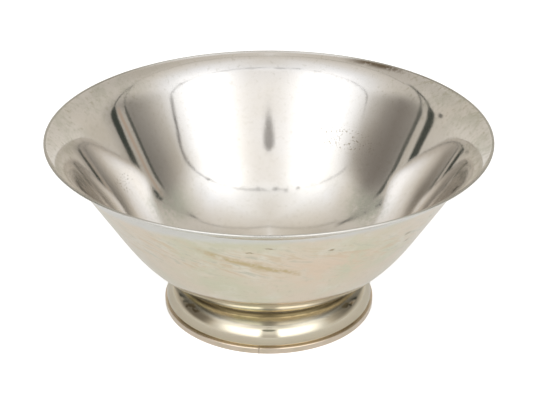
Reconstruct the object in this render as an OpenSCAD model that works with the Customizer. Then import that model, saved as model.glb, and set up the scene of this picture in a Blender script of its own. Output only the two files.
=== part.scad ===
// Punch bowl in silver: a spun bowl on a hollow spun foot.
// Origin: centre of the face it stands on. Z is up and is the bowl's own axis.
// Every piece is its own module, and all but the solder sliver are turned shapes.

/* [Bowl] */
// Diameter over the rim
rim_d = 356; // [320:1:420]
// Thickness of the sheet that the bowl is spun from
bowl_wall = 1.2; // [0.8:0.1:2]
// Thickness of the rounded lip at the rim
lip_thickness = 1.8; // [1.2:0.1:3]
// Outside radius of the ball-shaped bottom
belly_radius = 144.3; // [130:0.1:160]
// Slope of the straight side, in degrees above level
side_angle = 58.6; // [54:0.1:62]
// Radius of the flare under the rim, on the outside
flare_radius = 49; // [30:0.5:70]
// Slope of the flare where it ends at the lip, in degrees above level
lip_angle = 28.7; // [18:0.1:40]

/* [Foot] */
// Diameter over the wire round the bottom of the foot
foot_d = 176; // [150:1:200]
// Thickness of the sheet that the foot is spun from
foot_wall = 1.2; // [0.8:0.1:2]
// Width of the ledge that the base wire leaves outside the foot
ledge_w = 1.7; // [1:0.1:3]
// Height of the upright skirt below the foot's bulge, or more if the bowl needs it
skirt_h = 2.4; // [1:0.1:6]
// Least gap between the underside of the bowl and the floor
floor_gap = 8; // [4:0.5:14]
// Radius of the foot's rounded bulge
bulge_radius = 20.5; // [16:0.1:26]
// Angle at which the bulge ends and the hollow neck begins
bulge_angle = 58; // [50:0.5:64]
// Radius of the hollow neck under the bowl
neck_radius = 5; // [3:0.1:8]
// Width of the flange inside the foot that the bowl sits on
flange_w = 8; // [5:0.5:14]

/* [Base wire] */
// Height of the wire that the foot stands on
wire_h = 5.1; // [3:0.1:8]
// Thickness of the wire, inside to outside
wire_w = 3.6; // [3:0.1:6]
// Radius on the wire's top outer edge
wire_edge_r = 0.8; // [0.3:0.1:1.4]
// Width of the seam where the ends of the wire meet
wire_seam_w = 0.3; // [0.2:0.05:0.6]
// Where the seam is, in degrees round from the front
wire_seam_turn = -5.2; // [-45:0.1:45]

/* [Solder] */
// Thickness of the solder between two pieces
solder_t = 0.2; // [0.1:0.05:0.4]

/* [Hidden] */
$fn = 180;
// Straight steps in each arc of an outline
arc_steps = 20;

silver = [0.84, 0.81, 0.74];
foot_silver = [0.72, 0.67, 0.56];
wire_silver = [0.76, 0.70, 0.62];
solder_grey = [0.60, 0.56, 0.48];

// Foot: radii are from the axis, heights from the floor.
skirt_r = foot_d / 2 - ledge_w;
bulge_r = skirt_r - bulge_radius;
neck_reach = bulge_radius + neck_radius;
neck_r = bulge_r + neck_reach * cos(bulge_angle);
// The bowl sits where the neck turns upright, with the solder between.
seat_r = neck_r - neck_radius;
seat_radius = belly_radius + solder_t;
// From the neck's middle up to the ball's, and from the bulge's middle to the bowl's underside.
ball_rise = sqrt(pow(seat_radius, 2) - pow(seat_r, 2));
neck_rise = neck_reach * sin(bulge_angle);
underside_rise = neck_rise + ball_rise - belly_radius;
// From the floor up: the skirt is tall enough to hold the bowl clear of the floor.
foot_edge_z = wire_h + solder_t;
bulge_z = max(foot_edge_z + skirt_h, floor_gap - underside_rise);
neck_z = bulge_z + neck_rise;
belly_z = neck_z + ball_rise;
// The foot's flange ends under the middle of the neck's wall.
flange_out_r = seat_r - foot_wall / 2;
flange_in_r = seat_r - flange_w;

// Bowl, from the bottom up.
lip_r = rim_d / 2 - lip_thickness / 2;
flare_end_r = lip_r + bowl_wall / 2 * sin(lip_angle);
flare_r = flare_end_r + flare_radius * sin(lip_angle);
side_top_r = flare_r - flare_radius * sin(side_angle);
side_low_r = belly_radius * sin(side_angle);
side_low_z = belly_z - belly_radius * cos(side_angle);
side_top_z = side_low_z + (side_top_r - side_low_r) * tan(side_angle);
flare_z = side_top_z - flare_radius * cos(side_angle);
lip_z = flare_z + (flare_radius + bowl_wall / 2) * cos(lip_angle);

// Points along an arc of a circle, for an outline.
function arc(centre, radius, from, to) = [
    for (i = [0 : arc_steps])
    let (angle = from + (to - from) * i / arc_steps)
    centre + radius * [cos(angle), sin(angle)]
];

// The bottom of the bowl's ball, filled in to the axis, at a given radius.
module ball(radius) {
    middle = [0, belly_z];
    polygon(concat([middle], arc(middle, radius, -90, side_angle - 90)));
}

// What lies between two radii of that ball, over one range of distance from the axis.
module ball_layer(inner, outer, from_r, to_r) {
    difference() {
        intersection() {
            ball(outer);
            translate([from_r, 0])
            square([to_r - from_r, neck_z + neck_radius]);
        }
        ball(inner);
    }
}

// Bowl: ball-shaped bottom, straight flaring side, out-curved rim and rounded lip.
module bowl_body() {
    middle = [0, belly_z];
    flare = [flare_r, flare_z];
    color(silver)
    rotate_extrude() {
        polygon(concat(
            arc(middle, belly_radius, -90, side_angle - 90),
            arc(flare, flare_radius, 90 + side_angle, 90 + lip_angle),
            arc(flare, flare_radius + bowl_wall, 90 + lip_angle, 90 + side_angle),
            arc(middle, belly_radius - bowl_wall, side_angle - 90, -90)
        ));
        translate([lip_r, lip_z])
        circle(d = lip_thickness);
    }
}

// Foot: upright skirt, rounded bulge, hollow neck, and the flange under the bowl.
module foot_shell() {
    bulge = [bulge_r, bulge_z];
    neck = [neck_r, neck_z];
    color(foot_silver)
    rotate_extrude() {
        difference() {
            polygon(concat(
                [[skirt_r - foot_wall, foot_edge_z], [skirt_r, foot_edge_z]],
                arc(bulge, bulge_radius, 0, bulge_angle),
                arc(neck, neck_radius, 180 + bulge_angle, 180),
                arc(neck, neck_radius + foot_wall, 180, 180 + bulge_angle),
                arc(bulge, bulge_radius - foot_wall, bulge_angle, 0)
            ));
            ball(seat_radius);
        }
        ball_layer(seat_radius, seat_radius + foot_wall, flange_in_r, flange_out_r);
    }
}

// Outline of the base wire: square to the floor, with its top outer edge rounded.
module wire_outline() {
    outer = foot_d / 2;
    difference() {
        translate([outer - wire_w, 0])
        square([wire_w, wire_h]);
        translate([outer - wire_edge_r, wire_h - wire_edge_r])
        difference() {
            square(wire_edge_r * 2);
            circle(r = wire_edge_r);
        }
    }
}

// The gap between the ends of the base wire.
module wire_gap() {
    rotate([0, 0, wire_seam_turn])
    translate([-wire_seam_w / 2, -foot_d, -wire_h])
    cube([wire_seam_w, foot_d, 3 * wire_h]);
}

// Base wire: one length bent into a ring, which stands on the floor.
module base_wire() {
    color(wire_silver)
    difference() {
        rotate_extrude()
        wire_outline();
        wire_gap();
    }
}

// Solder between the foot's flange and the bowl.
module neck_solder() {
    color(solder_grey)
    rotate_extrude()
    ball_layer(belly_radius, seat_radius, flange_in_r, seat_r);
}

// Solder between the foot's lower edge and the top of the base wire.
module foot_edge_solder() {
    color(solder_grey)
    rotate_extrude()
    translate([skirt_r - foot_wall, wire_h])
    square([foot_wall, solder_t]);
}

// Solder that closes the seam in the base wire.
module wire_seam_solder() {
    color(solder_grey)
    intersection() {
        rotate_extrude()
        wire_outline();
        wire_gap();
    }
}

bowl_body();
foot_shell();
base_wire();
neck_solder();
foot_edge_solder();
wire_seam_solder();
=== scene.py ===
import math

import bmesh
import bpy
from bpy.props import FloatProperty, FloatVectorProperty, IntProperty, PointerProperty
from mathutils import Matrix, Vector, noise


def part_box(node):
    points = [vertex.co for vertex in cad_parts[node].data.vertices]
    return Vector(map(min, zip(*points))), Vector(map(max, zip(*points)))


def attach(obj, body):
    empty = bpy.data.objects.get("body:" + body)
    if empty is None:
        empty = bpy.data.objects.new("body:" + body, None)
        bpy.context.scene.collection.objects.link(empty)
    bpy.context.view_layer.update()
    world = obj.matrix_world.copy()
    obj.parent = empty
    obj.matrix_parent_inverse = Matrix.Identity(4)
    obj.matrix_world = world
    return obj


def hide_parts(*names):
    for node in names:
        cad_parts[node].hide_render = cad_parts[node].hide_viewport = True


bl_info = {
    "name": "Silver Punch Bowl",
    "version": (1, 0, 0),
    "blender": (4, 5, 0),
    "location": "3D View > Sidebar > Punch Bowl",
    "description": "Dresses the punch bowl's frame in polished, lightly tarnished silver",
    "category": "Object",
}

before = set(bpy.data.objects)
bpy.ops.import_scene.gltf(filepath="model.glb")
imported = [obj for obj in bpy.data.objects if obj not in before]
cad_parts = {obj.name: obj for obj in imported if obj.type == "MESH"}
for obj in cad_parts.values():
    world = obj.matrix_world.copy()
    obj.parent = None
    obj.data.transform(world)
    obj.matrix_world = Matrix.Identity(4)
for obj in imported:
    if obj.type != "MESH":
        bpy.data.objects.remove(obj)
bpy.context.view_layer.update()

MM = 0.001
BODY = "root"
QUARTER, HALF, FULL = math.pi / 2, math.pi, 2 * math.pi
DEGREES = 180.0 / math.pi
BOWL_LOW, BOWL_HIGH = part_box("bowl_body")
FOOT_LOW, FOOT_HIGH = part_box("foot_shell")
WIRE_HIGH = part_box("base_wire")[1]
HIGHEST = BOWL_HIGH.z
# The floor is a hair under the wire, so that they share no face.
FLOOR = -0.02 * MM
FLOOR_MIDDLE = 300 * MM
SENSOR = 36.0


# ---------------------------------------------------------------- sizes and colours

def length(name, description, default):
    """A size in metres that the sidebar shows as a length."""
    return FloatProperty(
        name=name, description=description, default=default,
        min=0.0, precision=4, subtype="DISTANCE", unit="LENGTH",
    )


def angle(name, description, degrees):
    """An angle that the sidebar shows in degrees."""
    return FloatProperty(
        name=name, description=description, default=math.radians(degrees),
        subtype="ANGLE", unit="ROTATION",
    )


def share(name, description, default):
    """An amount from none to all."""
    return FloatProperty(
        name=name, description=description, default=default,
        min=0.0, max=1.0, subtype="FACTOR",
    )


def colour(name, description, default):
    """A colour, in linear light."""
    return FloatVectorProperty(
        name=name, description=description, default=default,
        size=3, min=0.0, max=1.0, subtype="COLOR",
    )


class BowlSizes(bpy.types.PropertyGroup):
    """Sizes of the spun bowl; its rim and bottom come from the frame."""
    wall: length("Wall", "Thickness of the bowl's sheet", 1.2 * MM)
    lip: length("Lip", "Thickness of the rounded lip", 1.8 * MM)
    belly_radius: length("Belly radius", "Outside radius of the bottom", 144.3 * MM)
    side_angle: angle("Side slope", "Slope of the straight side", 58.6)
    flare_radius: length("Flare radius", "Outside radius of the flare", 49 * MM)
    lip_angle: angle("Lip slope", "Slope of the flare at the lip", 28.7)
    ease: length(
        "Ease", "Half the length over which the belly eases into the side", 20 * MM)
    flare_ease: length(
        "Flare ease", "Half the length over which the side eases into the flare", 12.5 * MM)
    ripple: length("Ripple", "Height of the waves left by spinning", 0.02 * MM)
    around: IntProperty(
        name="Steps around", description="Facets round the axis", default=360, min=24)


class FootSizes(bpy.types.PropertyGroup):
    """Sizes of the foot and of the wire under it."""
    wall: length("Wall", "Thickness of the foot's sheet", 1.2 * MM)
    bulge_radius: length("Bulge radius", "Radius of the rounded bulge", 20.5 * MM)
    bulge_angle: angle("Bulge end", "Where the bulge gives way to the neck", 58)
    neck_radius: length("Neck radius", "Radius of the hollow neck", 5 * MM)
    skirt: length("Skirt", "Height of the upright skirt", 2.4 * MM)
    flange: length("Flange", "Width of the flange under the bowl", 8 * MM)
    wire_edge: length("Wire edge", "Radius on the wire's top edge", 0.8 * MM)
    wire_corner: length("Wire corners", "Radius on the wire's other edges", 0.3 * MM)
    wire_width: length("Wire", "Thickness of the base wire", 3.6 * MM)
    seam_turn: angle("Seam", "Where the wire's ends meet, from the front", -5.2)
    seam_width: length("Seam width", "Width of the wire's seam", 0.3 * MM)


class Finish(bpy.types.PropertyGroup):
    """Colours of the silver and of what has settled on it."""
    silver: colour("Silver", "Clean polished silver", (0.88, 0.86, 0.84))
    warm: colour("Warm silver", "Silver under a thin yellow bloom", (0.82, 0.775, 0.70))
    brown: colour("Tarnish", "Brown tarnish", (0.17, 0.125, 0.075))
    solder: colour("Solder", "Old silver solder", (0.42, 0.36, 0.28))
    polish: share("Roughness", "Roughness of the polished metal", 0.045)


class Studio(bpy.types.PropertyGroup):
    """The stage, its light and the camera."""
    floor: colour("Floor", "Colour of the floor", (0.70, 0.70, 0.71))
    floor_glow: share("Floor glow", "Light that comes up through the floor", 0.2)
    floor_over: share("Floor white", "How far the camera overexposes the floor", 0.5)
    tent_radius: length("Tent", "Radius of the light tent and of the floor", 2.0)
    distance: length("Camera distance", "From the axis to the camera, along the floor", 0.9445)
    height: length("Camera height", "Height of the camera", 0.5751)
    pitch: angle("Camera pitch", "How far the camera looks down", 27.2)
    lens: FloatProperty(
        name="Lens", description="Focal length in millimetres", default=86.36,
        min=1.0, subtype="DISTANCE_CAMERA")
    shift: FloatProperty(
        name="Sideways shift", description="Shift of the view to the side, as part of its width",
        default=0.0012, precision=4, subtype="FACTOR", soft_min=-1.0, soft_max=1.0)


# ---------------------------------------------------------------- node writing

def raw(value):
    """The socket or number behind a value."""
    return value.socket if isinstance(value, Wire) else value


class Wire:
    """A socket whose value can be used in Python expressions."""

    def __init__(self, board, socket):
        self.board, self.socket = board, socket

    def __add__(self, other):
        return self.board.maths("ADD", self, other)

    def __sub__(self, other):
        return self.board.maths("SUBTRACT", self, other)

    def __rsub__(self, other):
        return self.board.maths("SUBTRACT", other, self)

    def __mul__(self, other):
        return self.board.maths("MULTIPLY", self, other)

    def __truediv__(self, other):
        return self.board.maths("DIVIDE", self, other)

    def __rtruediv__(self, other):
        return self.board.maths("DIVIDE", other, self)

    def __pow__(self, other):
        return self.board.maths("POWER", self, other)

    def __abs__(self):
        return self.board.maths("ABSOLUTE", self)

    __radd__ = __add__
    __rmul__ = __mul__


class Board:
    """A node tree that is written from Python."""

    def __init__(self, tree):
        self.tree = tree
        tree.nodes.clear()

    def node(self, kind, settings=None, sockets=None, output=0):
        """Adds a node: its settings first, then its sockets, by name or number."""
        node = self.tree.nodes.new(kind)
        for name, value in (settings or {}).items():
            if name == "stops":
                self.stops(node.color_ramp, value)
            else:
                setattr(node, name, value)
        for key, value in (sockets or {}).items():
            target, value = node.inputs[key], raw(value)
            if isinstance(value, bpy.types.NodeSocket):
                self.tree.links.new(value, target)
            else:
                target.default_value = value
        return Wire(self, node.outputs[output]) if len(node.outputs) else None

    @staticmethod
    def stops(ramp, stops):
        """Sets a ramp's stops, as pairs of place and colour."""
        while len(ramp.elements) < len(stops):
            ramp.elements.new(0.5)
        for element, (place, shade) in zip(ramp.elements, stops):
            element.position = place
            element.color = (*shade, 1.0)

    def maths(self, operation, *values):
        """Works out one operation on sockets and numbers."""
        return self.node("ShaderNodeMath", {"operation": operation}, dict(enumerate(values)))

    def step(self, value, low, high, to_low=0.0, to_high=1.0):
        """Goes smoothly from to_low to to_high as the value goes from low to high."""
        return self.node(
            "ShaderNodeMapRange", {"interpolation_type": "SMOOTHSTEP"},
            {"Value": value, "From Min": low, "From Max": high,
             "To Min": to_low, "To Max": to_high},
        )

    def band(self, value, low, high, soft):
        """One between low and high, and nought outside, with soft edges."""
        return (self.step(value, low - soft, low + soft)
                * self.step(value, high - soft, high + soft, 1.0, 0.0))

    def slope(self, value, low, high):
        """Goes evenly from nought to one as the value goes from low to high."""
        return self.node("ShaderNodeMapRange", None,
                         {"Value": value, "From Min": low, "From Max": high})

    def disc(self, x, y, middle_x, middle_y, reach_x, reach_y, soft):
        """One inside a soft-edged oval, and nought outside."""
        across, up = (x - middle_x) / reach_x, (y - middle_y) / reach_y
        away = (across * across + up * up) ** 0.5
        return self.step(away, 1.0 + soft / reach_y, 1.0)

    def either(self, *masks):
        """The strongest of some masks."""
        most = masks[0]
        for mask in masks[1:]:
            most = self.maths("MAXIMUM", most, mask)
        return most

    def split(self, vector):
        """The three parts of a vector."""
        parts = self.node("ShaderNodeSeparateXYZ", None, {0: vector}).socket.node.outputs
        return [Wire(self, part) for part in parts]

    def grey(self, shade):
        """The first channel of a grey colour."""
        return self.node("ShaderNodeSeparateColor", None, {0: shade})

    def blend(self, factor, a, b):
        """Mixes two colours."""
        colours = [(*c, 1.0) if isinstance(c, (tuple, Vector)) else c for c in (a, b)]
        return self.node("ShaderNodeMix", {"data_type": "RGBA"},
                         {0: factor, 6: colours[0], 7: colours[1]}, output=2)

    def lay(self, under, shade, mask, strength):
        """Lays a colour over another where the mask is, at most this strongly."""
        return self.blend(mask * strength, under, shade)

    def grain(self, place, scale, detail=3.0, roughness=0.5, distortion=0.0):
        """Soft noise from nought to one."""
        return self.node("ShaderNodeTexNoise", None,
                         {"Vector": place, "Scale": scale, "Detail": detail,
                          "Roughness": roughness, "Distortion": distortion})


# ---------------------------------------------------------------- outlines and turning

# How many strides make one step of an eased outline.
STRIDES = 40
# How many steps the outlines take.
BOWL_STEPS, LIP_STEPS = 108, 14
BULGE_STEPS, BULGE_INNER_STEPS, NECK_STEPS, NECK_INNER_STEPS = 36, 30, 18, 10
FLANGE_STEPS, FLANGE_LOW_STEPS = 8, 6
# The waves that spinning leaves: how close, and how strong. They die out by the lip, from
# this far below it.
WAVES = ((32.0, 1.0), (75.0, 0.5))
CALM_DEPTH = 8 * MM
# Nearer the axis than this, a ring is a single point.
AXIS = 1e-7


def arc(middle, radius, start, end, steps):
    """Points along an arc of an outline: distance from the axis, then height."""
    turns = [start + (end - start) * i / steps for i in range(steps + 1)]
    return [(middle[0] + radius * math.cos(t), middle[1] + radius * math.sin(t))
            for t in turns]


def smooth(t):
    """Goes smoothly from nought to one."""
    t = min(max(t, 0.0), 1.0)
    return t * t * (3.0 - 2.0 * t)


def eased(start, bends, end, steps):
    """Points along a curve whose bending eases from one stretch into the next.

    Each stretch is its length, its bend (one over its radius) and half the length over which
    it eases into the next one.
    """
    stride = sum(bend[0] for bend in bends) / steps / STRIDES
    place, heading, points = list(start), 0.0, [tuple(start)]
    for i in range(steps * STRIDES):
        along = (i + 0.5) * stride
        bend, reach = bends[0][1], 0.0
        for (span, before, ease), (_, after, _) in zip(bends, bends[1:]):
            reach += span
            bend += (after - before) * smooth((along - reach + ease) / (2 * ease))
        heading += bend * stride
        place[0] += math.cos(heading - bend * stride / 2) * stride
        place[1] += math.sin(heading - bend * stride / 2) * stride
        if (i + 1) % STRIDES == 0:
            points.append(tuple(place))
    # The easing moves the end by a hair, which is spread over the whole curve.
    miss = [wanted - got for wanted, got in zip(end, points[-1])]
    return [tuple(c + m * smooth(i / steps) for c, m in zip(point, miss))
            for i, point in enumerate(points)]


def bowl_outline(sizes):
    """The bowl's section, from the axis under it, over the lip and back to the axis."""
    slope, lip_slope = sizes.side_angle, sizes.lip_angle
    lip_radius = sizes.lip / 2
    lip = (BOWL_HIGH.x - lip_radius, BOWL_HIGH.z - lip_radius)
    reach = sizes.flare_radius + sizes.wall / 2
    flare = (lip[0] + reach * math.sin(lip_slope), lip[1] - reach * math.cos(lip_slope))
    # The lip's round meets the sheet where the sheet's faces cut it.
    inset = math.acos(sizes.wall / 2 / lip_radius)
    trim = lip_radius * math.sin(inset) / reach
    round_from = lip_slope - QUARTER - inset
    faces = []
    for depth in (0.0, sizes.wall):
        ball = sizes.belly_radius - depth
        outer = sizes.flare_radius + depth
        bottom = BOWL_LOW.z + depth
        belly_end = (ball * math.sin(slope), bottom + ball * (1 - math.cos(slope)))
        flare_start, flare_end = arc(
            flare, outer, QUARTER + slope, QUARTER + lip_slope + trim, steps=1)
        faces.append(eased(
            (0.0, bottom),
            [(ball * slope, 1 / ball, sizes.ease),
             (math.dist(belly_end, flare_start), 0.0, sizes.flare_ease),
             (outer * (slope - lip_slope - trim), -1 / outer, 0.0)],
            flare_end, BOWL_STEPS,
        ))
    lip_round = arc(
        lip, lip_radius, round_from, round_from + 2 * (QUARTER + inset), LIP_STEPS)
    return faces[0] + lip_round + faces[1][::-1]


def foot_outline(sizes, ball_height, seat_radius):
    """The foot's section, closed: skirt, bulge, neck, and the flange under the bowl.

    The flange's top lies on a ball, whose middle is ball_height above the floor.
    """
    edge = FOOT_LOW.z
    outside = FOOT_HIGH.x
    bulge = (outside - sizes.bulge_radius, edge + sizes.skirt)
    turn, wall = sizes.bulge_angle, sizes.wall
    reach = sizes.bulge_radius + sizes.neck_radius
    neck = (bulge[0] + reach * math.cos(turn), bulge[1] + reach * math.sin(turn))
    seat = neck[0] - sizes.neck_radius

    def on_ball(radius, distance):
        return ball_height - math.sqrt(radius ** 2 - distance ** 2)

    under = seat_radius + wall
    flange_in = seat - sizes.flange
    # The flange's underside stops one and a half sheets short of where its top ends.
    flange_width = seat - 1.5 * wall - flange_in
    flange_top = [seat - sizes.flange * i / FLANGE_STEPS for i in range(FLANGE_STEPS + 1)]
    flange_low = [flange_in + flange_width * i / FLANGE_LOW_STEPS
                  for i in range(FLANGE_LOW_STEPS + 1)]
    # The neck's inner face starts just clear of the flange's underside.
    inner = arc(neck, sizes.neck_radius + wall, HALF * 1.02, HALF + turn, NECK_INNER_STEPS)
    inner = [p for p in inner if p[1] < on_ball(under, p[0]) - 0.2 * MM]
    return (
        [(outside - wall, edge), (outside, edge)]
        + arc(bulge, sizes.bulge_radius, 0.0, turn, BULGE_STEPS)
        + arc(neck, sizes.neck_radius, HALF + turn, HALF, NECK_STEPS)[1:]
        + [(r, on_ball(seat_radius, r)) for r in flange_top]
        + [(r, on_ball(under, r)) for r in flange_low]
        + inner
        + arc(bulge, sizes.bulge_radius - wall, turn, 0.0, BULGE_INNER_STEPS)[1:]
    )


def turned(name, outline, steps, closed=False, ripple=0.0, start=0.0, end=FULL):
    """Turns an outline round the axis into a smooth mesh, part of the way or all round.

    A closed outline's last point joins its first one.
    """
    mesh = bmesh.new()
    whole = end - start == FULL
    rows = steps if whole else steps + 1
    rings = []
    for distance, height in outline:
        if distance < AXIS:
            rings.append([mesh.verts.new((0.0, 0.0, height))] * rows)
            continue
        ring = []
        for i in range(rows):
            turn = start + (end - start) * i / steps
            ring.append(mesh.verts.new(
                (distance * math.sin(turn), -distance * math.cos(turn), height)))
        rings.append(ring)
    pairs = list(zip(rings, rings[1:]))
    if closed:
        pairs.append((rings[-1], rings[0]))
    for low, high in pairs:
        for i in range(steps):
            j = (i + 1) % rows
            corners = [low[i], low[j], high[j], high[i]]
            corners = [v for k, v in enumerate(corners) if v not in corners[:k]]
            if len(corners) > 2:
                mesh.faces.new(corners)
    if not whole:
        for i in (0, -1):
            mesh.faces.new([ring[i] for ring in rings])
    bmesh.ops.recalc_face_normals(mesh, faces=mesh.faces)
    if ripple:
        mesh.normal_update()
        for vert in mesh.verts:
            wave = sum(strength * noise.noise(vert.co * close) for close, strength in WAVES)
            calm = smooth((HIGHEST - vert.co.z) / CALM_DEPTH)
            vert.co += vert.normal * wave * ripple * calm
    for face in mesh.faces:
        face.smooth = True
    data = bpy.data.meshes.new(name)
    mesh.to_mesh(data)
    mesh.free()
    piece = bpy.data.objects.new(name, data)
    bpy.context.scene.collection.objects.link(piece)
    return piece


def settle(piece, material, node):
    """Gives a piece its metal and its place on the frame, instead of the plain node."""
    piece.data.materials.append(material)
    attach(piece, BODY)
    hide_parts(node)


# ---------------------------------------------------------------- silver

def new_material(name):
    """An empty material and the board for its nodes."""
    material = bpy.data.materials.new(name)
    material.use_nodes = True
    return material, Board(material.node_tree)


def finish_metal(board, base, roughness, normal):
    """Ends a metal's nodes."""
    shader = board.node("ShaderNodeBsdfPrincipled", None,
                        {"Base Color": base, "Roughness": roughness,
                         "Metallic": 1.0, "Normal": normal})
    board.node("ShaderNodeOutputMaterial", None, {"Surface": shader})


def where(board):
    """The place on the metal, its turn from the front in degrees, and its height and reach
    from the axis in millimetres."""
    place = board.node("ShaderNodeNewGeometry")
    x, y, z = board.split(place)
    turn = board.maths("ARCTAN2", x, 0.0 - y) * DEGREES
    return place, turn, z / MM, (x * x + y * y) ** 0.5 / MM


# Each grain is how fine it is, its layers, how rough and how swirled.
CLOUD, MOTTLE, SPECK = (14.0, 4.0, 0.55, 0.3), (45.0, 5.0, 0.62, 0.4), (260.0, 3.0, 0.6)
WIPED, PITS = (1.0, 5.0, 0.62, 0.6), (620.0, 1.0)
FOOT_CLOUD, FOOT_MOTTLE = (30.0, 4.0, 0.55, 0.3), (90.0, 5.0, 0.62, 0.4)
WIRE_CLOUD, SOLDER_CLOUD = (60.0, 4.0), (160.0, 4.0)
SCRATCHES, SCRATCH_DEPTH = (900.0, 2.0), 0.2 * MM
EDGE_GRAIN, EDGE_WOBBLE, EDGE_SOFT = (220.0, 4.0, 0.65), 5.0, 0.7


def scratched(board, place, strength):
    """Fine scratches all over."""
    return board.node(
        "ShaderNodeBump", None,
        {"Strength": strength, "Distance": SCRATCH_DEPTH,
         "Height": board.grain(place, *SCRATCHES)})


def spots(board, place, turn, height, marks):
    """Small stains with uneven edges."""
    wobble = (board.grain(place, *EDGE_GRAIN) - 0.5) * EDGE_WOBBLE
    return board.either(*(
        board.disc(turn + wobble, height + wobble, *mark, EDGE_SOFT) for mark in marks))


# Colours of what has settled on the silver inside the bowl.
HAZE = (0.70, 0.66, 0.58)
FLARE_BLOOM = (0.66, 0.67, 0.60)
FLARE_SPECKLE = (0.60, 0.57, 0.48)
FLARE_BACK = (0.72, 0.70, 0.69)
LOW_DEPOSIT = (0.66, 0.70, 0.62)
LIP_SPECKLE = (0.50, 0.46, 0.33)
PITTED = (0.32, 0.27, 0.18)
# Colours outside it.
GREEN_CLOUD = (0.69, 0.685, 0.53)
PEACH_CLOUD = (0.78, 0.695, 0.575)
PALE_CLOUD = (0.805, 0.78, 0.69)
OLIVE_SPECKLE = (0.56, 0.53, 0.40)
WIPED_BROWN = (0.69, 0.57, 0.39)
WIPED_GREEN = (0.56, 0.55, 0.44)
PEACH = (0.80, 0.66, 0.52)
AMBER = (0.56, 0.44, 0.22)
BLUISH = (0.73, 0.745, 0.735)
STAINED = (0.34, 0.26, 0.14)
DULL_LIP = (0.48, 0.47, 0.43)
# The wiped streaks outside run down by this many millimetres a degree.
WIPED_FALL = 0.74
# A place that the amber streak runs through: its turn and its height.
AMBER_TURN, AMBER_HEIGHT = -21.5, 126.0
# The lip grows dull between these depths below its top, in millimetres.
DULL_START, DULL_FULL = 1.1, 0.4
# Each stain is its turn, its height, and how far it reaches both ways.
BOWL_STAINS = (
    (0.0, 133.5, 0.9, 0.5), (17.0, 127.0, 0.5, 0.7), (44.0, 119.0, 0.9, 0.9),
    (52.0, 128.0, 0.5, 0.9), (47.0, 108.0, 0.7, 0.5), (-5.0, 128.0, 0.6, 0.4),
    (160.0, 120.0, 0.9, 0.8), (-120.0, 110.0, 0.7, 0.8), (-80.0, 125.0, 0.6, 0.5),
)


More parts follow.
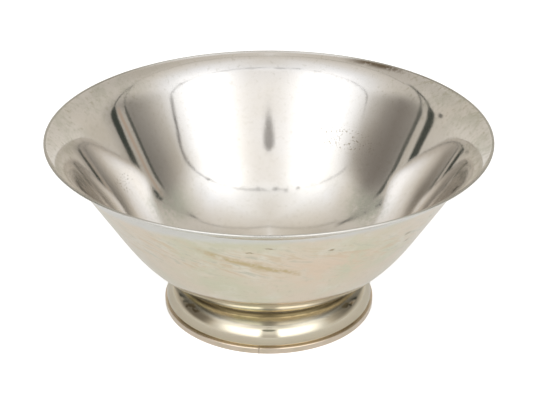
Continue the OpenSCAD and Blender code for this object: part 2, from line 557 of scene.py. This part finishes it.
def bowl_silver(finish):
    """Polished silver with a thin uneven bloom, heavier outside, and a tarnished rim."""
    material, board = new_material("bowl_silver")
    place, turn, height, reach = where(board)
    facing = board.split(board.node("ShaderNodeNewGeometry", output=1))[2]
    inside = board.step(facing, -0.2, 0.1)
    side = abs(turn)
    cloud, mottle, speck = (board.grain(place, *grain) for grain in (CLOUD, MOTTLE, SPECK))
    patchy = mottle * 0.6 + speck * 0.4

    # Inside: clean on the back, bloomed on the flare, with a deposit low at both sides.
    clean = board.blend(board.step(cloud, 0.42, 0.72, 0.0, 0.55),
                        tuple(finish.silver), tuple(finish.warm))
    clean = board.lay(clean, HAZE, board.step(speck, 0.50, 0.80), 0.32)
    flare = board.step(reach, 150.0, 163.0)
    bloom = flare * board.step(mottle * 0.7 + speck * 0.3, 0.40, 0.66)
    clean = board.lay(clean, FLARE_BLOOM, bloom * board.band(side, 35.0, 140.0, 20.0), 0.8)
    clean = board.lay(clean, FLARE_SPECKLE, board.step(speck, 0.58, 0.72) * flare, 0.45)
    clean = board.lay(clean, FLARE_BACK, flare * board.step(side, 110.0, 150.0), 0.5)
    low = board.band(side, 112.0, 136.0, 8.0) * board.band(height, 46.0, 66.0, 8.0)
    low = low * board.step(patchy, 0.36, 0.58)
    clean = board.lay(clean, LOW_DEPOSIT, low, 0.75)

    # By the lip: brown tarnish at the back and speckles on the right.
    brown = board.band(turn, 138.0, 154.0, 5.0) * board.step(reach + mottle * 4.0, 172.5, 176.5)
    brown = brown * board.step(mottle * 0.5 + speck * 0.5, 0.34, 0.50)
    clean = board.lay(clean, tuple(finish.brown), brown, 0.9)
    right = board.band(turn, 95.0, 137.0, 8.0) * board.step(reach, 168.0, 176.0)
    clean = board.lay(clean, LIP_SPECKLE, right * board.step(speck, 0.48, 0.62), 0.35)

    # Two groups of pits.
    pit = board.either(board.disc(turn, height, 149.0, 96.0, 7.0, 5.0, 8.0),
                       board.disc(turn, height, -107.0, 90.0, 3.0, 4.0, 7.0))
    pit = pit * board.step(board.grain(place, *PITS) + pit * 0.04, 0.65, 0.72)
    clean = board.lay(clean, PITTED, pit, 0.75)

    # Outside: yellow-green and peach clouds.
    worn = board.blend(board.step(cloud, 0.38, 0.62), GREEN_CLOUD, PEACH_CLOUD)
    worn = board.lay(worn, PALE_CLOUD, board.step(mottle, 0.48, 0.68), 0.6)
    worn = board.lay(worn, OLIVE_SPECKLE, board.step(speck, 0.55, 0.75), 0.35)

    # Streaks that run down to the right, as if wiped, and a peach patch among them.
    slant = height + turn * WIPED_FALL
    across = board.node("ShaderNodeCombineXYZ", None, {0: turn * 0.12, 1: slant * 0.2})
    wiped = board.grain(across, *WIPED)
    zone = board.band(height, 96.0, 130.0, 10.0)
    worn = board.lay(worn, WIPED_BROWN, board.step(wiped, 0.50, 0.66) * zone, 0.75)
    worn = board.lay(worn, WIPED_GREEN, board.step(wiped, 0.47, 0.34) * zone, 0.65)
    peach = board.band(turn, 6.0, 34.0, 7.0) * board.band(height, 86.0, 118.0, 9.0)
    worn = board.lay(worn, PEACH, peach * board.step(mottle, 0.36, 0.56), 0.8)

    # One amber streak runs down the same way.
    drift = height - AMBER_HEIGHT + (turn - AMBER_TURN) * WIPED_FALL + (cloud - 0.5) * 10.0
    amber = board.step(abs(drift), 5.0, 0.5) * board.band(turn, -19.0, 9.0, 5.0)
    worn = board.lay(worn, AMBER, amber * board.step(patchy, 0.40, 0.56), 0.8)

    # A bluish band under the lip, narrower on the right, and small stains.
    narrow = board.step(turn, -60.0, 20.0, 0.0, 9.0)
    bluish = board.step(height + (mottle - 0.5) * 8.0 - narrow, 129.0, 137.0)
    worn = board.lay(worn, BLUISH, bluish, 0.85)
    stain = spots(board, place, turn, height, BOWL_STAINS)
    worn = board.lay(worn, STAINED, stain, 0.8)

    # The lip is duller than the rest.
    top = HIGHEST / MM
    lip = board.step(height, top - DULL_START, top - DULL_FULL)
    base = board.lay(board.blend(inside, worn, clean), DULL_LIP, lip, 0.8)
    rough = board.step(cloud, 0.3, 0.8, finish.polish, finish.polish * 2.2)
    rough = rough + (1.0 - inside) * 0.05 + (bloom * 0.07 + low * 0.18) * inside + lip * 0.2
    finish_metal(board, base, rough, scratched(board, place, 0.04))
    return material


# The foot's colours, and what has settled on it.
FOOT_GREY, FOOT_YELLOW = (0.60, 0.54, 0.43), (0.63, 0.58, 0.46)
FOOT_STAINED = (0.24, 0.19, 0.10)
FOOT_STAINS = (
    (-51.0, 21.8, 2.0, 0.9), (-47.0, 20.6, 1.6, 0.5), (-54.0, 20.2, 0.8, 0.7),
    (50.5, 22.2, 2.4, 0.8), (55.0, 21.0, 1.2, 0.6), (140.0, 21.0, 2.2, 0.8),
    (-150.0, 22.0, 2.0, 0.9),
)
# From the bulge up into the neck, and down on the skirt: each colour comes in from the first
# height to the second, this strongly.
# The three upper bands are painted light. The grey and the olive are painted reflections of the
# bowl's shaded underside, and the near black is painted shadow where the neck meets the bowl.
# The skirt's band is its own tarnish.
FOOT_BANDS_AND_PAINTED_SHADE = (
    ((0.27, 0.26, 0.22), 20.6, 22.6, 0.85),
    ((0.54, 0.45, 0.27), 23.4, 25.0, 0.9),
    ((0.11, 0.08, 0.035), 25.2, 26.6, 0.92),
    ((0.58, 0.52, 0.39), 9.6, 8.2, 0.7),
)


def foot_silver(finish):
    """The foot's yellower silver, with painted shade and painted reflections, dark and olive, in
    the neck, and blotches on the bulge.
    """
    material, board = new_material("foot_silver")
    place, turn, exact_height, _ = where(board)
    cloud, mottle = (board.grain(place, *grain) for grain in (FOOT_CLOUD, FOOT_MOTTLE))
    height = exact_height + (mottle - 0.5) * 1.6
    base = board.blend(board.step(cloud, 0.35, 0.7), FOOT_GREY, FOOT_YELLOW)
    # Up the neck these bands paint shadow and reflections into the colour; low down, the skirt's
    # band is tarnish.
    for shade, start, full, strength in FOOT_BANDS_AND_PAINTED_SHADE:
        base = board.lay(base, shade, board.step(height, start, full), strength)
    stain = spots(board, place, turn, exact_height, FOOT_STAINS)
    base = board.lay(base, FOOT_STAINED, stain, 0.8)
    rough = board.step(height, 20.5, 24.5, finish.polish * 1.3, 0.24)
    finish_metal(board, base, rough, scratched(board, place, 0.05))
    return material


# The wire's colours.
WIRE_PINK, WIRE_YELLOW = (0.71, 0.62, 0.52), (0.64, 0.56, 0.44)


def wire_silver():
    """The base wire's duller, pinker silver."""
    material, board = new_material("wire_silver")
    place = board.node("ShaderNodeNewGeometry")
    cloud = board.grain(place, *WIRE_CLOUD)
    base = board.blend(board.step(cloud, 0.3, 0.8), WIRE_PINK, WIRE_YELLOW)
    finish_metal(board, base, 0.1, scratched(board, place, 0.08))
    return material


def solder_metal(finish):
    """Dull old solder, lumpy and browned."""
    material, board = new_material("solder")
    place = board.node("ShaderNodeNewGeometry")
    cloud = board.grain(place, *SOLDER_CLOUD)
    base = board.blend(cloud, tuple(finish.solder), tuple(finish.brown))
    lumps = board.node("ShaderNodeBump", None,
                       {"Strength": 0.3, "Distance": 0.3 * MM, "Height": cloud})
    finish_metal(board, base, 0.32, lumps)
    return material


# ---------------------------------------------------------------- the pieces

class PUNCHBOWL_OT_spin_bowl(bpy.types.Operator):
    """Spin the bowl: rounded bottom, straight flaring side and rounded lip"""
    bl_idname = "punchbowl.spin_bowl"
    bl_label = "Spin the bowl"

    def execute(self, context):
        scene = context.scene
        bowl = scene.punch_bowl
        piece = turned("bowl", bowl_outline(bowl), bowl.around, ripple=bowl.ripple)
        settle(piece, bowl_silver(scene.punch_finish), "bowl_body")
        return {"FINISHED"}


class PUNCHBOWL_OT_spin_foot(bpy.types.Operator):
    """Spin the foot: skirt, bulge, hollow neck and the flange under the bowl"""
    bl_idname = "punchbowl.spin_foot"
    bl_label = "Spin the foot"

    def execute(self, context):
        scene = context.scene
        bowl, foot = scene.punch_bowl, scene.punch_foot
        # The bowl lies on solder as thick as the solder under the foot's edge.
        solder_low, solder_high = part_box("foot_edge_solder")
        seat_radius = bowl.belly_radius + solder_high.z - solder_low.z
        outline = foot_outline(foot, BOWL_LOW.z + bowl.belly_radius, seat_radius)
        piece = turned("foot", outline, bowl.around, closed=True, ripple=bowl.ripple / 2)
        settle(piece, foot_silver(scene.punch_finish), "foot_shell")
        return {"FINISHED"}


class PUNCHBOWL_OT_bend_wire(bpy.types.Operator):
    """Bend the wire that the foot stands on, leaving a gap at its seam for the solder"""
    bl_idname = "punchbowl.bend_wire"
    bl_label = "Bend the base wire"

    def execute(self, context):
        scene = context.scene
        foot = scene.punch_foot
        outside, top, edge = WIRE_HIGH.x, WIRE_HIGH.z, foot.wire_edge
        inside = outside - foot.wire_width
        worn = foot.wire_corner
        outline = (
            arc((outside - edge, top - edge), edge, 0.0, QUARTER, steps=8)
            + arc((inside + worn, top - worn), worn, QUARTER, HALF, steps=3)
            + arc((inside + worn, worn), worn, HALF, HALF + QUARTER, steps=3)
            + arc((outside - worn, worn), worn, HALF + QUARTER, FULL, steps=3)
        )
        gap = foot.seam_width / 2 / outside
        wire = turned(
            "base_wire_ring", outline, scene.punch_bowl.around, closed=True,
            start=foot.seam_turn + gap, end=foot.seam_turn - gap + FULL)
        settle(wire, wire_silver(), "base_wire")
        return {"FINISHED"}


class PUNCHBOWL_OT_run_solder(bpy.types.Operator):
    """Run the solder round the foot and into the wire's seam"""
    bl_idname = "punchbowl.run_solder"
    bl_label = "Run the solder"

    def execute(self, context):
        solder = solder_metal(context.scene.punch_finish)
        for name in ("neck_solder", "foot_edge_solder", "wire_seam_solder"):
            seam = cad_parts[name]
            seam.data.materials.clear()
            seam.data.materials.append(solder)
        return {"FINISHED"}


# ---------------------------------------------------------------- the stage

# What the tent's cloth gives off, as a grey level for each height above the floor, by
# bearing from the camera. Both are angles in degrees, as seen from the middle of the floor.
# Levels over 255 are brighter than white.
TENT = (
    (15, ((0, 260), (12, 365), (28, 365), (38, 280), (57, 262), (67, 234), (77, 217),
          (90, 203))),
    (40, ((0, 230), (10, 320), (26, 365), (37, 290), (52, 288), (60, 268), (67, 242),
          (90, 202))),
    (57, ((0, 228), (12, 238), (25, 256), (37, 262), (47, 272), (58, 264), (67, 243),
          (90, 200))),
    (67, ((0, 226), (12, 196), (27, 196), (34, 222), (42, 250), (54, 256), (67, 236),
          (90, 198))),
    (77, ((0, 224), (12, 156), (26, 154), (32, 170), (42, 224), (55, 236), (67, 226),
          (90, 198))),
    (88, ((0, 222), (8, 160), (16, 122), (25, 124), (32, 148), (42, 200), (55, 218),
          (67, 214), (90, 198))),
    (98, ((0, 220), (14, 116), (24, 114), (32, 134), (42, 186), (57, 203), (72, 206),
          (90, 198))),
    (108, ((0, 218), (14, 126), (24, 124), (34, 160), (45, 180), (62, 196), (90, 200))),
    (122, ((0, 216), (12, 170), (20, 180), (40, 182), (60, 174), (75, 188), (90, 202))),
    (145, ((0, 214), (10, 194), (25, 184), (45, 173), (60, 170), (77, 190), (90, 204))),
    (165, ((0, 214), (10, 194), (25, 182), (40, 180), (50, 205), (62, 222), (75, 192),
           (90, 205))),
    (180, ((0, 214), (20, 184), (32, 208), (47, 240), (60, 246), (72, 222), (90, 206))),
)
OVERHEAD = 90.0
# The bright front of the tent is turned a little to the side.
FRONT = 2.0
# The part of the light that the silver gives back.
SILVER_RETURN = 0.835
# The cloth's warm tint fades from this grey level on, over this many levels.
TINT_FROM, TINT_FADE = 190.0, 45.0
DIM_TINT, BRIGHT_TINT = Vector((1.085, 1.01, 0.89)), Vector((1.0, 1.005, 1.01))
# Colours of what shows against the cloth.
BETWEEN_CLOTHS, BROWN_CLOTH = (0.60, 0.56, 0.49), (0.42, 0.32, 0.24)
GAP_DARK = (0.035, 0.043, 0.035)
DEEP_SHADE = (0.19, 0.165, 0.14)
FOLD_GREY = (0.16, 0.15, 0.13)
HIGH_MIDDLE, LOW_MIDDLE = (0.97, 0.95, 0.925), (0.66, 0.64, 0.61)
LENS_DARK = (0.14, 0.165, 0.12)
HOOK_DARK = (0.17, 0.155, 0.14)
SPOT_DARK = (0.05, 0.05, 0.045)
THREAD_DARK = (0.15, 0.14, 0.13)
WHITE = (1.0, 1.0, 1.0, 1.0)
# Height of the front cloth's seam by bearing from the camera, in degrees.
SEAM = ((0, 67.8), (21, 66.2), (32, 64.6), (44, 61.5), (58, 54), (66.5, 45), (70.5, 39),
        (73, 34.5), (75, 31))


def linear(level):
    """The linear light of a grey level from nought to 255."""
    level = level / 255.0
    return level / 12.92 if level <= 0.04045 else ((level + 0.055) / 1.055) ** 2.4


def cloth_light(level):
    """The light that makes silver look that grey level: warm where dim, white where bright."""
    white = min(max((level - TINT_FROM) / TINT_FADE, 0.0), 1.0)
    return DIM_TINT.lerp(BRIGHT_TINT, white) * linear(level) / SILVER_RETURN


def plain_cloth(board, bearing, height):
    """The cloth's own light, from one column of grey levels to the next."""
    turn = abs(bearing - FRONT)
    light = last = None
    for reach, levels in TENT:
        stops = [(at / OVERHEAD, cloth_light(level)) for at, level in levels]
        ramp = board.node("ShaderNodeValToRGB", {"stops": stops}, {0: height / OVERHEAD})
        light = ramp if last is None else board.blend(
            board.slope(turn, last, reach), light, ramp)
        last = reach
    return light


def side_gaps(board, light, way, height):
    """Two dark gaps between the side cloths and the back, which go on upwards as thin folds.

    They stand at given distances back, from -1 in front to 1 at the back of the tent.
    """
    x, y, _ = board.split(way)
    back = y + 0.05 * x + (board.grain(way, 5.0, 3.0) - 0.5) * 0.022
    start, thin = board.step(height, 13.0, 17.0), board.step(height, 25.0, 31.0)
    end = board.step(height, 54.0, 46.0)
    left = board.step(x, 0.1, -0.1)
    inner = abs(back - 0.252 - left * 0.014) / (0.021 - 0.013 * thin - 0.004 * x)
    lean = 0.25 + (51.0 - height) * 0.0055 - left * 0.008
    outer = abs(back - lean) / (0.032 - 0.025 * thin + left * 0.006)
    between = board.band(back, 0.262, 0.39, 0.012) * start * end * (1.0 - thin)
    streak = board.grain(way, 3.0, 1.0) * 0.02
    brown = board.band(back + streak, 0.318, 0.352, 0.008)
    light = board.lay(light, BETWEEN_CLOTHS, between, 0.55)
    light = board.lay(light, BROWN_CLOTH, between * brown, 0.8 - 0.7 * left)
    gap = board.either(board.step(inner, 1.3, 0.7) * 0.88, board.step(outer, 1.2, 0.8))
    gap = gap * start * end
    split = board.band(back, 0.250, 0.256, 0.003) * (1.0 - thin) * 0.45
    return board.lay(light, GAP_DARK, gap, 0.96 - 0.12 * thin - split)


def top_fold(board, light, way, height):
    """The fold along the top of the tent."""
    x, y, _ = board.split(way)
    wide = abs(x)
    fold = abs(y - 0.06 - wide * 0.24 - wide * wide * 0.12)
    fold = board.step(fold, 0.014, 0.003) * board.step(height, 47.0, 54.0)
    return board.lay(light, FOLD_GREY, fold, 0.42)


def front_middle(board, light, way, bearing, height):
    """The camera and who stands behind it, with a hook above and a dark spot at the back."""
    below = board.band(bearing, -9.0, 10.0, 4.0) * board.step(height, 42.0, 35.0)
    above = board.band(bearing, -20.0, 26.0, 17.0) * board.step(height, 35.0, 42.0)
    middle = board.either(below, above * board.step(height, 67.0, 59.0))
    shown = board.blend(board.step(height, 20.0, 8.0), HIGH_MIDDLE, LOW_MIDDLE)
    light = board.lay(light, shown, middle, 0.95)
    lens = board.disc(bearing, height, 0.0, 31.5, 6.5, 4.0, 1.5)
    light = board.lay(light, LENS_DARK, lens, 0.75)
    hook = board.either(board.disc(bearing, height, 0.0, 42.5, 4.0, 0.65, 0.4),
                        board.disc(bearing, height, 0.2, 42.9, 2.7, 1.0, 0.35))
    light = board.lay(light, HOOK_DARK, hook, 0.66 + 0.34 * board.grain(way, 60.0, 2.0))
    spot = board.disc(bearing, height, -126.0, 24.0, 1.5, 1.6, 0.8)
    return board.lay(light, SPOT_DARK, spot, 0.8)


def front_seam(board, light, way, bearing, height):
    """The seam round the front cloth, stitched unevenly and broken in places."""
    stops = [(at / OVERHEAD, (level / OVERHEAD,) * 3) for at, level in SEAM]
    line = board.node("ShaderNodeValToRGB", {"stops": stops}, {0: abs(bearing) / OVERHEAD})
    wander = (board.grain(way, 16.0, 3.0) - 0.5) * 2.0
    knot = board.step(board.grain(way, 14.0, 2.0), 0.57, 0.63)
    away = abs(height - board.grey(line) * OVERHEAD + wander) / (1.0 + 1.4 * knot)
    # More of it is missing on the left, where it ends sooner.
    missing = board.step(bearing, -30.0, 30.0, 0.44, 0.37)
    seam = board.step(away, 1.05, 0.45)
    seam = seam * board.step(board.grain(way, 7.0, 2.0) - missing, 0.0, 0.07)
    seam = seam * board.step(abs(bearing), 75.5, 74.0) * board.step(bearing, -72.5, -71.0)
    # It fades where the cloth turns, and is thin and pale overhead.
    lost = board.band(abs(bearing), 47.0, 61.0, 5.0) * board.step(height, 46.0, 50.0)
    seam = seam * (1.0 - 0.85 * lost) * (1.0 - 0.35 * board.step(height, 58.0, 62.0))
    return board.lay(light, THREAD_DARK, seam, 0.78 + 0.2 * knot)


def tent_cloth():
    """White cloth, brightest in front, with its dark gaps, its seam and the camera's place."""
    material, board = new_material("tent_cloth")
    place = board.node("ShaderNodeNewGeometry")
    way = board.node("ShaderNodeVectorMath", {"operation": "NORMALIZE"}, {0: place})
    x, y, z = board.split(way)
    bearing = board.maths("ARCTAN2", x, 0.0 - y) * DEGREES
    height = board.maths("ARCSINE", z) * DEGREES
    light = plain_cloth(board, bearing, height)
    light = side_gaps(board, light, way, height)
    # The cloths on the left hang in deeper shade.
    shade = board.band(bearing, -104.0, -68.0, 8.0) * board.step(height, 40.0, 26.0)
    shade = shade * board.step(height, 2.0, 12.0)
    light = board.lay(light, DEEP_SHADE, shade, 0.7)
    light = top_fold(board, light, way, height)
    light = front_middle(board, light, way, bearing, height)
    light = front_seam(board, light, way, bearing, height)
    glow = board.node("ShaderNodeEmission", None, {"Color": light, "Strength": 1.0})
    board.node("ShaderNodeOutputMaterial", None, {"Surface": glow})
    return material


def plain_surround(world):
    """Plain white beyond the floor, which only the camera sees."""
    world.use_nodes = True
    board = Board(world.node_tree)
    background = board.node("ShaderNodeBackground", None, {"Color": WHITE})
    board.node("ShaderNodeOutputWorld", None, {"Surface": background})


def floor_white(studio):
    """Plain pale paper that is lit a little from below, and overexposed to the camera."""
    material, board = new_material("floor_white")
    paper = board.node("ShaderNodeBsdfDiffuse", None, {"Color": (*studio.floor, 1.0)})
    glow, over = (
        board.node("ShaderNodeEmission", None, {"Color": WHITE, "Strength": strength})
        for strength in (studio.floor_glow, studio.floor_glow + studio.floor_over)
    )
    seen = board.node("ShaderNodeLightPath", output=0)
    light = board.node("ShaderNodeMixShader", None, {0: seen, 1: glow, 2: over})
    both = board.node("ShaderNodeAddShader", None, {0: paper, 1: light})
    board.node("ShaderNodeOutputMaterial", None, {"Surface": both})
    return material


class PUNCHBOWL_OT_set_stage(bpy.types.Operator):
    """Set the floor, the studio light and the camera"""
    bl_idname = "punchbowl.set_stage"
    bl_label = "Set the stage"

    def execute(self, context):
        scene = context.scene
        studio = scene.punch_studio
        world = bpy.data.worlds.new("surround")
        scene.world = world
        plain_surround(world)
        radius = studio.tent_radius
        paper = [(0.0, FLOOR), (FLOOR_MIDDLE, FLOOR), (radius, FLOOR)]
        floor = turned("floor", paper, steps=64)
        floor.data.materials.append(floor_white(studio))
        tent = turned("tent", arc((0.0, 0.0), radius, 0.0, QUARTER, steps=24), steps=96)
        tent.data.materials.append(tent_cloth())
        tent.visible_camera = False
        camera = bpy.data.objects.new("camera", bpy.data.cameras.new("camera"))
        scene.collection.objects.link(camera)
        camera.location = (0.0, -studio.distance, studio.height)
        camera.rotation_euler = (QUARTER - studio.pitch, 0.0, 0.0)
        camera.data.lens = studio.lens
        camera.data.sensor_width = SENSOR
        camera.data.shift_x = studio.shift
        camera.data.clip_start = 10 * MM
        scene.camera = camera
        scene.view_settings.view_transform = "Standard"
        # Beside the lip, the bowl mirrors itself many times over.
        scene.cycles.glossy_bounces = 12
        return {"FINISHED"}


OPERATORS = (
    PUNCHBOWL_OT_set_stage,
    PUNCHBOWL_OT_spin_bowl,
    PUNCHBOWL_OT_spin_foot,
    PUNCHBOWL_OT_bend_wire,
    PUNCHBOWL_OT_run_solder,
)


class PUNCHBOWL_PT_sidebar(bpy.types.Panel):
    """Lists the steps that make the punch bowl, with its sizes and colours"""
    bl_idname = "PUNCHBOWL_PT_sidebar"
    bl_label = "Punch Bowl"
    bl_space_type = "VIEW_3D"
    bl_region_type = "UI"
    bl_category = "Punch Bowl"

    def draw(self, context):
        for step in OPERATORS:
            self.layout.operator(step.bl_idname)
        for name in GROUPS:
            box = self.layout.box()
            group = getattr(context.scene, name)
            for key in group.bl_rna.properties.keys():
                if key not in ("rna_type", "name"):
                    box.prop(group, key)


GROUPS = {
    "punch_bowl": BowlSizes,
    "punch_foot": FootSizes,
    "punch_finish": Finish,
    "punch_studio": Studio,
}


def register():
    for kind in (*GROUPS.values(), *OPERATORS, PUNCHBOWL_PT_sidebar):
        bpy.utils.register_class(kind)
    for name, group in GROUPS.items():
        setattr(bpy.types.Scene, name, PointerProperty(type=group))


def unregister():
    for name in GROUPS:
        delattr(bpy.types.Scene, name)
    for kind in reversed((*GROUPS.values(), *OPERATORS, PUNCHBOWL_PT_sidebar)):
        bpy.utils.unregister_class(kind)


def main():
    register()
    for step in OPERATORS:
        group, name = step.bl_idname.split(".")
        getattr(getattr(bpy.ops, group), name)()


if __name__ == "__main__":
    main()
